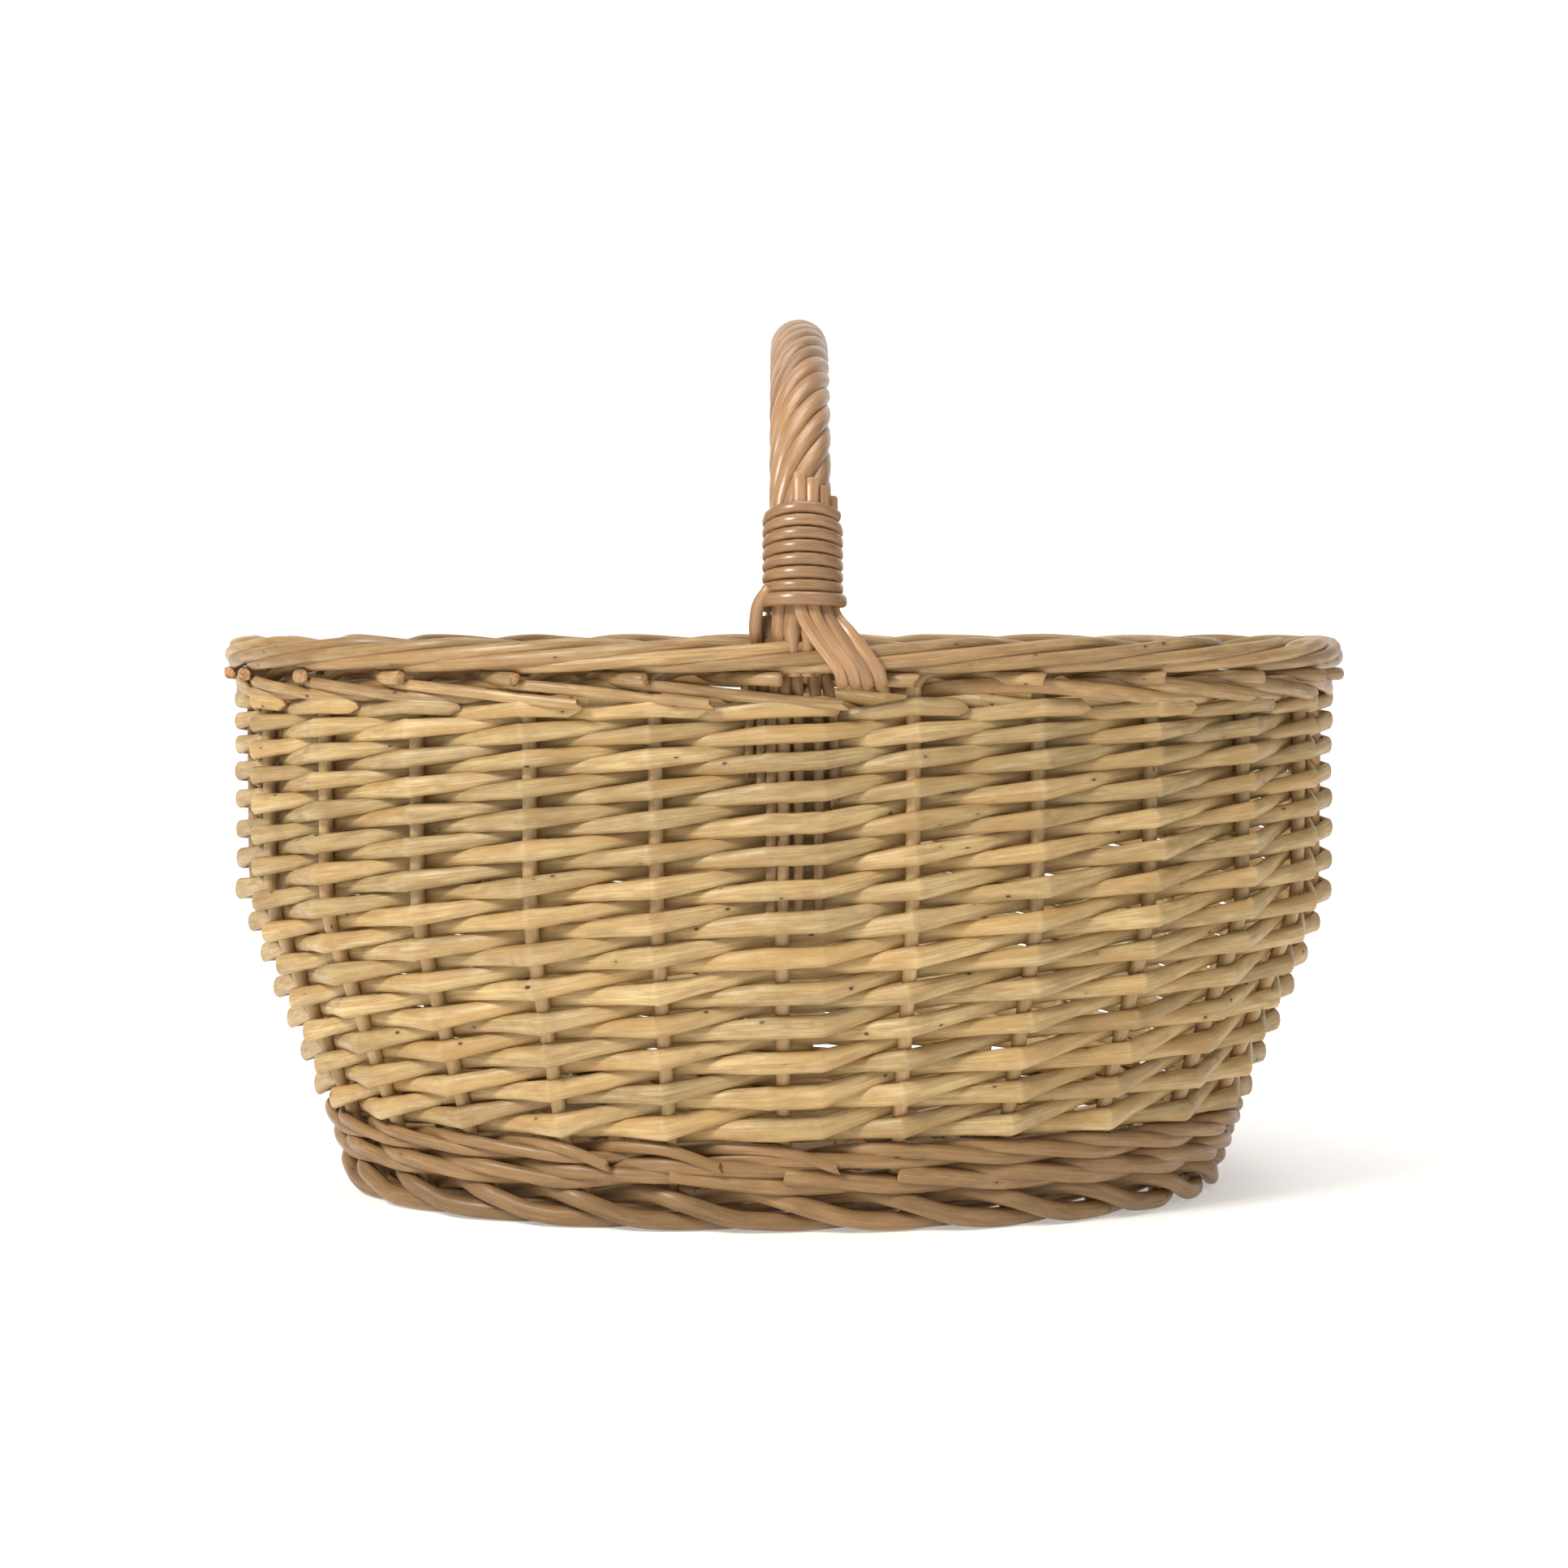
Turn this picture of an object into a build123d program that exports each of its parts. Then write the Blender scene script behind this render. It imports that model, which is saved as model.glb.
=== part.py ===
from build123d import *
from math import ceil, copysign, cos, floor, hypot, pi, radians, sin, tan
from bisect import bisect_right
import os

os.makedirs("parts", exist_ok=True)

# Woven willow market basket. Millimetres, +Z up, X along the length of the oval, origin on the floor
# under the middle of the basket. It stands on its foot border at z = 0.

# ---- the oval body ----
rim_length = 460.0  # over the rim border
rim_width = 354.0
oval_power = 2.2  # 2 is an ellipse, more is squarer
stake_count = 26  # even, so that opposite stakes are the same piece turned half round
flare = 48.0  # how far the foot lies inside the upright wall, all round
flare_top = 120.0  # height where the leaning wall turns upright

# ---- rods ----
stake_diameter = 4.6
weaver_diameter = 4.3
wale_diameter = 4.0
foot_diameter = 4.8
cross_stick_diameter = 7.0
long_stick_width = 7.0
long_stick_thickness = 3.2
clearance = 0.3  # left between rods that lie against each other
bend_slack_out = 2.35  # room for the eased bends of a weaver, which cut inside their corners
bend_slack_in = 1.65
bend = 10.0  # usual inner bend of a rod where it changes direction
tight_bend = 5.0  # bend where a rod is kinked over, as at the border and the foot

# ---- heights of the woven bands ----
weave_taper = 0.24  # how much closer the thin tips pack at the top
bottom_wale_rounds = 2
strand_gap_share = 1.23
rim_top = 226.0

# ---- base ----
cross_stick_count = 9
cross_stick_pitch = 24.0
long_stick_count = 4
base_edge_gap = 1.0
stake_foot_length = 28.0  # part of each stake that lies in the woven base
base_skin = 0.9  # weave over and under the sticks
base_window_margin = 8.0  # crossing of the sticks left open in the middle of the base
base_stick_inset = 3.0

# ---- handle ----
handle_rise = 130.0  # from the rim to the top of the handle
handle_power = 2.2
tongue_diameter = 4.4  # the bow's thinned end, let down beside the middle stake
tongue_length = 102.0  # below the rim
tongue_slack = 1.2
rope_rod_count = 8
bow_bend = 60.0
rope_seat = 2.0  # the slanted ends of the rope stop this far above the rim
rope_slack = 0.7  # lets the straight stretches of the rope rods clear the bow
rope_slant_share = 1.31  # of its thickness, what a slanted rod takes of the way round
rope_rod_diameter = 5.3
rope_bend = 30.0
rope_twist_turns = 3.5
rope_steps_per_turn = 8
collar_diameter = 3.6
collar_turns = 7
collar_bottom = 9.0  # above the rim, along the bow
tail_count = 4
tail_diameter = 3.0
tail_middle = 32.0  # degrees from straight outward, towards the right
tail_stub = 5.0  # what stands up past the collar on the shortest tail
tail_step = 3.0
tail_fan_gap = 1.6  # between the tails where they cross the rim
tail_slant = 9.0

# ---- paths of the plaited rods, as (stakes along, outward, up), the last two in rod diameters ----
# A stake in the rim border kinks down to the right, passes behind one stake and in front of three,
# goes over to the inside and ends as a butt outside.
border_plait = [
    (0.00, 0.000, 0.565),
    (0.15, -0.957, 0.848),
    (1.00, -1.435, 1.609),
    (1.20, -1.174, 1.935),
    (1.50, -0.174, 2.326),
    (2.00, 1.500, 1.435),
    (2.50, 1.913, 1.130),
    (3.00, 2.065, 2.522),
    (3.50, 1.913, 2.522),
    (4.00, 1.609, 3.457),
    (4.22, 1.435, 3.565),
    (4.55, 0.087, 3.609),
    (5.00, -2.000, 2.870),
    (5.20, -2.522, 1.913),
    (5.40, -2.217, 0.174),
    (5.60, -0.326, 0.000),
    (5.85, 1.913, 0.022),
    (6.00, 2.087, 0.087),
]
# A foot rod stands beside its stake, kinks over behind its neighbours and rolls out and down to the right.
foot_plait = [
    (0.00, 0.000, 1.083),
    (1.00, -1.208, 2.125),
    (1.34, -1.042, 2.500),
    (1.62, 0.083, 3.000),
    (1.95, 1.417, 2.208),
    (2.42, 1.417, 0.917),
    (2.68, 1.167, 0.417),
    (2.98, 0.792, 0.417),
]
foot_rods_high = 3.45  # height of the foot border

# The thinned end of the bow winds down through the border, as (outward at the front, outward at the back, up),
# in stake diameters.
tongue_plait = [
    (0.313, -0.104, 2.609),
    (0.415, -0.130, 0.652),
    (0.039, -0.013, -0.652),
]

# ---- dimensions that follow ----
stake_radius = stake_diameter / 2
border_path = [(along, out * stake_diameter, up * stake_diameter) for along, out, up in border_plait]
foot_path = [(along, out * foot_diameter, up * foot_diameter) for along, out, up in foot_plait]
border_outward = max(out for along, out, up in border_path) + stake_radius
border_base = rim_top - stake_radius - max(up for along, out, up in border_path)
line_length = rim_length - 2 * border_outward  # oval through the stakes where the wall is upright
line_width = rim_width - 2 * border_outward

strand_gap = strand_gap_share * wale_diameter  # from strand to strand in a wale
wale_round = 2 * strand_gap
wale_climb = 3  # stakes over which a wale steps up to its next round
wale_reach = stake_radius + wale_diameter + clearance

foot_top = foot_rods_high * foot_diameter
stake_foot_height = foot_top + strand_gap / 2 - stake_radius
cross_stick_height = stake_foot_height - stake_radius - clearance - cross_stick_diameter / 2
base_bottom = cross_stick_height - cross_stick_diameter / 2 - base_skin
base_top = stake_foot_height + stake_radius + base_skin
foot_beside = (stake_diameter + foot_diameter) / 2 + clearance

bottom_wale_height = stake_foot_height + stake_radius + wale_diameter / 2 + clearance
bottom_wale_rise = wale_round * (bottom_wale_rounds - 1) + (strand_gap + wale_diameter) / 2
bottom_wale_top = bottom_wale_height + bottom_wale_rise
top_wale_height = border_base - stake_radius - clearance - strand_gap / 2 - wale_diameter / 2
top_wale_bottom = top_wale_height - strand_gap / 2 - wale_diameter / 2

weave_start = bottom_wale_top + clearance + weaver_diameter / 2
weave_end = top_wale_bottom - clearance - weaver_diameter / 2
weave_height = weave_end - weave_start
tightest_share = (1 - weave_taper) / (1 - weave_taper / 4)  # of the even climb, at the top
rows_that_fit = weave_height * tightest_share / (weaver_diameter + clearance)
weave_turns = 2 * floor((rows_that_fit + 1) / 2) - 1  # odd, so that each weaver ends outside
weaver_out = stake_radius + weaver_diameter / 2 + clearance + bend_slack_out
weaver_in = -(stake_radius + weaver_diameter / 2 + clearance + bend_slack_in)

base_edge = -(wale_reach + wale_diameter / 2 + base_edge_gap)

rope_radius = rope_rod_count * rope_rod_diameter * rope_slant_share / (2 * pi)
bow_diameter = 2 * (rope_radius - rope_rod_diameter / 2 - clearance - rope_slack)
rope_outside = rope_radius + rope_rod_diameter / 2
tail_radius = rope_outside + clearance + tail_diameter / 2
tail_turn = (tail_diameter + 2 * clearance) / tail_radius  # radians around the bow
tail_fan = tail_diameter + tail_fan_gap
tail_clear = max(border_outward, rope_outside) + tail_diameter / 2 + 2 * clearance
tail_end = border_base + tail_diameter / 2 + clearance
collar_lean = (tail_diameter + 1.5 * clearance) / 2  # the collar leans out to take the tails in
collar_radius = rope_outside + clearance + collar_diameter / 2 + collar_lean
collar_pitch = collar_diameter + clearance
handle_top = rim_top + handle_rise
handle_offset = (stake_diameter + tongue_diameter) / 2 + clearance + tongue_slack  # beside the middle stakes
tongue_bottom = rim_top - tongue_length
bow_bottom = rim_top + rope_seat
bow_reach = line_width / 2


# ---- the oval and the wall ----
def signed_power(value, power):
    return copysign(abs(value) ** power, value)


def oval_point(turn):
    across = line_length / 2 * signed_power(sin(turn), 2 / oval_power)
    deep = -line_width / 2 * signed_power(cos(turn), 2 / oval_power)
    return across, deep


oval_steps = 2880
outline = [oval_point(2 * pi * i / oval_steps) for i in range(oval_steps + 1)]
reach = [0.0]
for before, after in zip(outline, outline[1:]):
    reach.append(reach[-1] + hypot(after[0] - before[0], after[1] - before[1]))


def wall(along, out, height):
    """Point of the wall: stakes counted to the right from the front middle, distance outward, height."""
    length = (along / stake_count % 1) * reach[-1]
    i = min(bisect_right(reach, length) - 1, oval_steps - 1)
    share = (length - reach[i]) / (reach[i + 1] - reach[i])
    x = outline[i][0] + share * (outline[i + 1][0] - outline[i][0])
    y = outline[i][1] + share * (outline[i + 1][1] - outline[i][1])
    outward = Vector(
        signed_power(2 * x / line_length, oval_power - 1) / line_length,
        signed_power(2 * y / line_width, oval_power - 1) / line_width,
        0,
    ).normalized()
    lean = flare * max(0.0, 1 - height / flare_top)
    return Vector(x, y, height) + outward * (out - lean)


# ---- rods ----
def lay_path(points, bend_radius):
    """Straight runs through the points, joined by tangent arcs, inside a BuildLine block."""
    corners = [Vector(*point) for point in points]
    here = corners[0]
    for before, corner, after in zip(corners, corners[1:], corners[2:]):
        back = before - corner
        ahead = after - corner
        turn = pi - radians(back.get_angle(ahead))
        room = 0.45 * min(back.length, ahead.length)
        radius = min(max(bend_radius, 1 / turn), room / tan(turn / 2))
        start = corner + back.normalized() * radius * tan(turn / 2)
        finish = corner + ahead.normalized() * radius * tan(turn / 2)
        inward = (back.normalized() + ahead.normalized()).normalized()
        middle = corner + inward * radius * (1 / cos(turn / 2) - 1)
        Line(here, start)
        ThreePointArc(start, middle, finish)
        here = finish
    Line(here, corners[-1])


def lay_rod(points, diameter, bend_radius=bend):
    """One round rod along the points, inside a BuildPart block."""
    with BuildLine() as path:
        lay_path(points, bend_radius)
    with BuildSketch(Plane(origin=path.line @ 0, z_dir=path.line % 0)) as section:
        Circle(diameter / 2)
    sweep(sections=section.sketch, path=path.line, clean=False)


def save(part, label):
    part.label = label
    export_step(part, f"parts/{label}.step")


# ---- side stakes, each running on into the rim border ----
def stake_points(stake):
    points = [
        wall(stake, -stake_foot_length, stake_foot_height),
        wall(stake, 0, stake_foot_height),
        wall(stake, 0, flare_top),
    ]
    points += [wall(stake + along, out, border_base + up) for along, out, up in border_path]
    return points


half_count = stake_count // 2
for number in range(half_count):
    with BuildPart() as side_stake:
        lay_rod(stake_points(number), stake_diameter, tight_bend)
        lay_rod(stake_points(number + half_count), stake_diameter, tight_bend)
    save(side_stake.part, f"side_stake_{number + 1:02d}")


# ---- side weavers: each climbs one row at every stake, in front of one and behind the next ----
weaver_end = 0.3  # stake spacings past the first and last stake


def weaver_points(first):
    points = [wall(first - weaver_end, weaver_in, weave_start)]
    for row in range(weave_turns + 1):
        share = row / weave_turns
        climb = (share - weave_taper * share**4 / 4) / (1 - weave_taper / 4)
        out = weaver_out if row % 2 else weaver_in
        points.append(wall(first + row, out, weave_start + climb * weave_height))
    points.append(wall(first + weave_turns + weaver_end, weaver_out - clearance, weave_end))
    return points


for number in range(half_count):
    with BuildPart() as side_weaver:
        lay_rod(weaver_points(number), weaver_diameter)
        lay_rod(weaver_points(number + half_count), weaver_diameter)
    save(side_weaver.part, f"side_weaver_{number + 1:02d}")


# ---- three-rod wales: in front of two stakes and behind one ----
def wale_points(rod, height, rounds):
    strokes = [(0.0, -wale_reach, 0.0), (0.5, 0.0, 0.5), (1.0, wale_reach, 0.5)]
    strokes += [(1.5, wale_reach, 0.0), (2.0, wale_reach, -0.5), (2.5, 0.0, -0.5)]
    points = []
    first = rod + 1
    last = first + rounds * stake_count - 3 - wale_climb * (rounds - 1)
    for stroke in range(ceil((last - first) / 3)):
        for along, out, up in strokes:
            stake = first + 3 * stroke + along
            if stake > last:
                continue
            finished = (stake - 1) // stake_count
            ahead = (stake - 1) % stake_count - (stake_count - wale_climb)
            level = finished + (max(0, ahead) / wale_climb if finished < rounds - 1 else 0)
            points.append(wall(stake, out, height + level * wale_round + up * strand_gap))
    return points


for number in range(3):
    with BuildPart() as bottom_wale_rod:
        lay_rod(wale_points(number, bottom_wale_height, bottom_wale_rounds), wale_diameter, bend)
    save(bottom_wale_rod.part, f"bottom_wale_rod_{number + 1}")
    with BuildPart() as top_wale_rod:
        lay_rod(wale_points(number, top_wale_height, 1), wale_diameter, bend)
    save(top_wale_rod.part, f"top_wale_rod_{number + 1}")


# ---- foot border ----
def foot_points(stake):
    spacing = (wall(stake + 0.5, 0, foot_top) - wall(stake - 0.5, 0, foot_top)).length
    start = stake + foot_beside / spacing
    points = [wall(start, 0, foot_top)]
    points += [wall(start + along, out, height) for along, out, height in foot_path]
    return points


with BuildPart() as foot_border_rods:
    for number in range(stake_count):
        lay_rod(foot_points(number), foot_diameter, tight_bend)
    split(bisect_by=Plane.XY, keep=Keep.TOP)
save(foot_border_rods.part, "foot_border_rods")


# ---- base: cross sticks slit to let the long sticks through, and the weave around them ----
base_middle = (base_bottom + base_top) / 2
base_lean = flare * (1 - base_middle / flare_top) - base_edge


def half_chord(place, half_along, half_across):
    """Half the width of the base oval at a place along it."""
    return half_across * (1 - (abs(place) / half_along) ** oval_power) ** (1 / oval_power)


def spread(count, pitch):
    return [pitch * (i - (count - 1) / 2) for i in range(count)]


base_half_length = line_length / 2 - base_lean - base_stick_inset
base_half_width = line_width / 2 - base_lean - base_stick_inset
long_pitch = long_stick_width + 2 * clearance
slit_width = long_pitch * long_stick_count + clearance
slit_thickness = long_stick_thickness + 2 * clearance
cross_places = spread(cross_stick_count, cross_stick_pitch)
long_places = spread(long_stick_count, long_pitch)


def lay_cross_stick(place, diameter, spare, mode=Mode.ADD):
    half = half_chord(place, base_half_length, base_half_width) + spare
    with Locations(Plane((place, -half, cross_stick_height), z_dir=(0, 1, 0))):
        Cylinder(diameter / 2, 2 * half, align=(Align.CENTER, Align.CENTER, Align.MIN), mode=mode)


def lay_long_stick(place, spare, mode=Mode.ADD):
    half = half_chord(place, base_half_width, base_half_length) + spare
    with Locations((0, place, cross_stick_height)):
        Box(2 * half, long_stick_width + 2 * spare, long_stick_thickness + 2 * spare, mode=mode)


for number, place in enumerate(cross_places):
    with BuildPart() as base_cross_stick:
        lay_cross_stick(place, cross_stick_diameter, 0)
        with Locations((place, 0, cross_stick_height)):
            Box(2 * cross_stick_diameter, slit_width, slit_thickness, mode=Mode.SUBTRACT)
    save(base_cross_stick.part, f"base_cross_stick_{number + 1}")

for number, place in enumerate(long_places):
    with BuildPart() as base_long_stick:
        lay_long_stick(place, 0)
        fillet(base_long_stick.edges().filter_by(Axis.X), long_stick_thickness / 4)
    save(base_long_stick.part, f"base_long_stick_{number + 1}")

base_outline = [wall(i / 2, base_edge, base_middle) for i in range(2 * stake_count)]
window_length = 2 * (max(cross_places) + base_window_margin)
window_width = slit_width + 2 * base_window_margin
with BuildPart() as base_weave:
    with BuildSketch(Plane.XY.offset(base_bottom)):
        with BuildLine():
            Spline(*[(point.X, point.Y) for point in base_outline], periodic=True)
        make_face()
        RectangleRounded(window_length, window_width, base_window_margin, mode=Mode.SUBTRACT)
    extrude(amount=base_top - base_bottom)
    for place in cross_places:
        lay_cross_stick(place, cross_stick_diameter + 2 * clearance, clearance, Mode.SUBTRACT)
    for place in long_places:
        lay_long_stick(place, clearance, Mode.SUBTRACT)
    for number in range(stake_count):
        outside = wall(number, 0, stake_foot_height)
        inside = wall(number, -stake_foot_length - clearance, stake_foot_height)
        with Locations(Plane(inside, z_dir=outside - inside)):
            Cylinder(
                stake_radius + clearance,
                (outside - inside).length,
                align=(Align.CENTER, Align.CENTER, Align.MIN),
                mode=Mode.SUBTRACT,
            )
save(base_weave.part, "base_weave")


# ---- handle: a bow from the front wall to the back, wrapped in twisted rods ----
bow_rise = handle_top - rope_outside - bow_bottom
bow_curve = []
bow_lengths = [0.0]
for i in range(oval_steps + 1):
    turn = pi * i / oval_steps
    y = -bow_reach * signed_power(cos(turn), 2 / handle_power)
    bow_curve.append(Vector(0, y, bow_bottom + bow_rise * abs(sin(turn)) ** (2 / handle_power)))
for before, after in zip(bow_curve, bow_curve[1:]):
    bow_lengths.append(bow_lengths[-1] + (after - before).length)
bow_length = bow_lengths[-1]


def bow_point(distance, right=0.0, out=0.0):
    """Point at a distance along the bow from its front foot, with offsets towards +X and away from its inside."""
    i = min(max(bisect_right(bow_lengths, distance) - 1, 0), oval_steps - 1)
    run = bow_curve[i + 1] - bow_curve[i]
    centre = bow_curve[i] + run * ((distance - bow_lengths[i]) / run.length)
    outward = Vector(0, -run.Z, run.Y).normalized()
    return centre + outward * out + Vector(handle_offset + right, 0, 0)


def foot_point(side, distance, right, out):
    """The same from either foot, with right as seen from outside; side is 1 at the front and -1 at the back."""
    return bow_point(distance if side > 0 else bow_length - distance, side * right, out)


def beside_rim(side, right, out, height):
    return Vector(handle_offset + side * right, -side * (bow_reach + out), height)


bow_runs = 24
with BuildPart() as handle_bow:
    lay_rod([bow_point(bow_length * i / bow_runs) for i in range(bow_runs + 1)], bow_diameter, bow_bend)
    for place, side in enumerate((1, -1)):
        tongue = [beside_rim(side, 0, 0, bow_bottom + bow_diameter / 2)]
        for step in tongue_plait:
            height = border_base + step[2] * stake_diameter
            tongue.append(beside_rim(side, 0, step[place] * stake_diameter, height))
        tongue.append(beside_rim(side, 0, 0, tongue_bottom))
        lay_rod(tongue, tongue_diameter, tight_bend)
save(handle_bow.part, "handle_bow")

rope_steps = ceil(rope_twist_turns * rope_steps_per_turn)
for number in range(rope_rod_count):
    rope_points = []
    for i in range(rope_steps + 1):
        angle = 2 * pi * ((number + 0.5) / rope_rod_count + rope_twist_turns * (i / rope_steps - 0.5))
        distance = bow_length * i / rope_steps
        rope_points.append(bow_point(distance, rope_radius * sin(angle), rope_radius * cos(angle)))
    with BuildPart() as handle_rope_rod:
        lay_rod(rope_points, rope_rod_diameter, rope_bend)
    save(handle_rope_rod.part, f"handle_rope_rod_{number + 1}")

collar_steps = 8  # per turn
collar_corner = collar_radius / cos(pi / collar_steps)
collar_top = collar_bottom + collar_turns * collar_pitch
for side, name in ((1, "front"), (-1, "back")):
    coil = []
    for i in range(collar_turns * collar_steps + 1):
        angle = 2 * pi * i / collar_steps
        right = collar_lean * sin(radians(tail_middle)) - collar_corner * sin(angle)
        out = collar_lean * cos(radians(tail_middle)) - collar_corner * cos(angle)
        coil.append(foot_point(side, collar_bottom + collar_pitch * i / collar_steps, right, out))
    with BuildPart() as handle_collar:
        lay_rod(coil, collar_diameter, collar_radius)
    save(handle_collar.part, f"handle_collar_{name}")

    with BuildPart() as handle_tails:
        for number in range(tail_count):
            angle = radians(tail_middle) + tail_turn * (number - (tail_count - 1) / 2)
            right = tail_radius * sin(angle)
            out = tail_radius * cos(angle)
            top = collar_top + tail_stub + tail_step * (tail_count - 1 - number)
            bottom = collar_bottom - collar_diameter
            stations = [top, (2 * top + bottom) / 3, (top + 2 * bottom) / 3, bottom]
            tail_points = [foot_point(side, station, right, out) for station in stations]
            fanned = tail_fan * (number + 1)
            tail_points.append(beside_rim(side, fanned, tail_clear, rim_top))
            tail_points.append(beside_rim(side, fanned + tail_slant, tail_clear, tail_end))
            lay_rod(tail_points, tail_diameter, bend)
    save(handle_tails.part, f"handle_tails_{name}")
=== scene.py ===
import bpy
import math
import random
import numpy as np
from bisect import bisect_right
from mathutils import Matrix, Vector


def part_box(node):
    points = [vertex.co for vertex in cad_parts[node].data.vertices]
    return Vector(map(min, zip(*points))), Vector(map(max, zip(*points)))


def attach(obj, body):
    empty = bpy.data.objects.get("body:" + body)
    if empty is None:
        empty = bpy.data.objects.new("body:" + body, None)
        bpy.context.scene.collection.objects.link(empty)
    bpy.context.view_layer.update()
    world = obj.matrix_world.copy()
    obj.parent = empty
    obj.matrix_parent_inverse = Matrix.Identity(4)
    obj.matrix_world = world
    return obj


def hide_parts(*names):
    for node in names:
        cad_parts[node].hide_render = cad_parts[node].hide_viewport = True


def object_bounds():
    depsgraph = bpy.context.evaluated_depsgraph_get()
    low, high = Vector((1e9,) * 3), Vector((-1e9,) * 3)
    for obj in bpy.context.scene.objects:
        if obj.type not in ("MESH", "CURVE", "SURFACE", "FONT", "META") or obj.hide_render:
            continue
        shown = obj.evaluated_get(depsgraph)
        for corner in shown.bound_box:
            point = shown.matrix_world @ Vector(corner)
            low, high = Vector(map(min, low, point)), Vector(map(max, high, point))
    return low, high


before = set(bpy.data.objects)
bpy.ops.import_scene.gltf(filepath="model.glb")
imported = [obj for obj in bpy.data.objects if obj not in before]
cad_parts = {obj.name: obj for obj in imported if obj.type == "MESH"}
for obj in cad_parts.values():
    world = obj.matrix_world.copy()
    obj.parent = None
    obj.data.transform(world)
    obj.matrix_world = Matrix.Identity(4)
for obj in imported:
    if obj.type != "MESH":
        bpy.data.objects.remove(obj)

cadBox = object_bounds()
mm = 0.001
seeds = random.Random(11)


# ---- the oval wall ----
# lengths are millimetres here, points come out in metres
wallShape = {
    "stakes": 26,
    "squareness": 2.2,  # 2 is an ellipse
    "rimReachX": 11.1,  # from the line of the stakes out to the rim's outside
    "rimReachY": 11.9,
    "footInset": 48.0,  # how far the foot lies inside the upright wall
    "uprightFrom": 120.0,  # height where the leaning wall turns upright
}


def boxMm(node):
    low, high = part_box(node)
    return low / mm, high / mm


stakes = wallShape["stakes"]
halfStakes = stakes // 2
rimLow, rimHigh = boxMm("side_stake_04")
rimSideLow, rimSideHigh = boxMm("side_stake_08")
halfLength = (rimHigh.x - rimLow.x) / 2 - wallShape["rimReachX"]
halfWidth = (rimSideHigh.y - rimSideLow.y) / 2 - wallShape["rimReachY"]
rimTop = rimHigh.z


def signedPower(value, power):
    return math.copysign(abs(value) ** power, value)


def ovalPoint(turn):
    power = 2 / wallShape["squareness"]
    return halfLength * signedPower(math.sin(turn), power), -halfWidth * signedPower(math.cos(turn), power)


ovalSteps = 2880
outline = [ovalPoint(2 * math.pi * i / ovalSteps) for i in range(ovalSteps + 1)]
reach = [0.0]
for before, after in zip(outline, outline[1:]):
    reach.append(reach[-1] + math.hypot(after[0] - before[0], after[1] - before[1]))


def outwardAt(x, y):
    power = wallShape["squareness"] - 1
    return Vector((
        signedPower(x / halfLength, power) / halfLength,
        signedPower(y / halfWidth, power) / halfWidth,
        0,
    )).normalized()


def wallPoint(along, out, height):
    # stakes counted to the right from the front middle, distance outward, height
    length = (along / stakes % 1) * reach[-1]
    i = min(bisect_right(reach, length) - 1, ovalSteps - 1)
    share = (length - reach[i]) / (reach[i + 1] - reach[i])
    x = outline[i][0] + share * (outline[i + 1][0] - outline[i][0])
    y = outline[i][1] + share * (outline[i + 1][1] - outline[i][1])
    lean = wallShape["footInset"] * max(0.0, 1 - height / wallShape["uprightFrom"])
    return (Vector((x, y, height)) + outwardAt(x, y) * (out - lean)) * mm


def facingWall(point):
    return outwardAt(point.x, point.y)


# ---- rolling a rod ----
rodLook = {
    "roundness": 0.9,  # 1 is an ellipse, less is squarer
    "weld": 0.000005,
    "smoothBelow": 48,  # degrees
    "cornerSteps": 4,
    "shortestRun": 0.2,
    "bevelShrink": 0.86,
    "swellEvery": 4,  # rings
}
barkStrips = {}


def selectOnly(piece):
    bpy.ops.object.select_all(action="DESELECT")
    piece.select_set(True)
    bpy.context.view_layer.objects.active = piece


def barkStrip(rings, sides):
    # a flat strip of bark, made once for each size and copied
    if (rings, sides) not in barkStrips:
        bpy.ops.object.select_all(action="DESELECT")
        bpy.ops.mesh.primitive_grid_add(
            x_subdivisions=rings - 1, y_subdivisions=sides, size=2, calc_uvs=True,
        )
        strip = bpy.context.object
        barkStrips[(rings, sides)] = strip.data
        bpy.data.objects.remove(strip)
    return barkStrips[(rings, sides)].copy()


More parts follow.
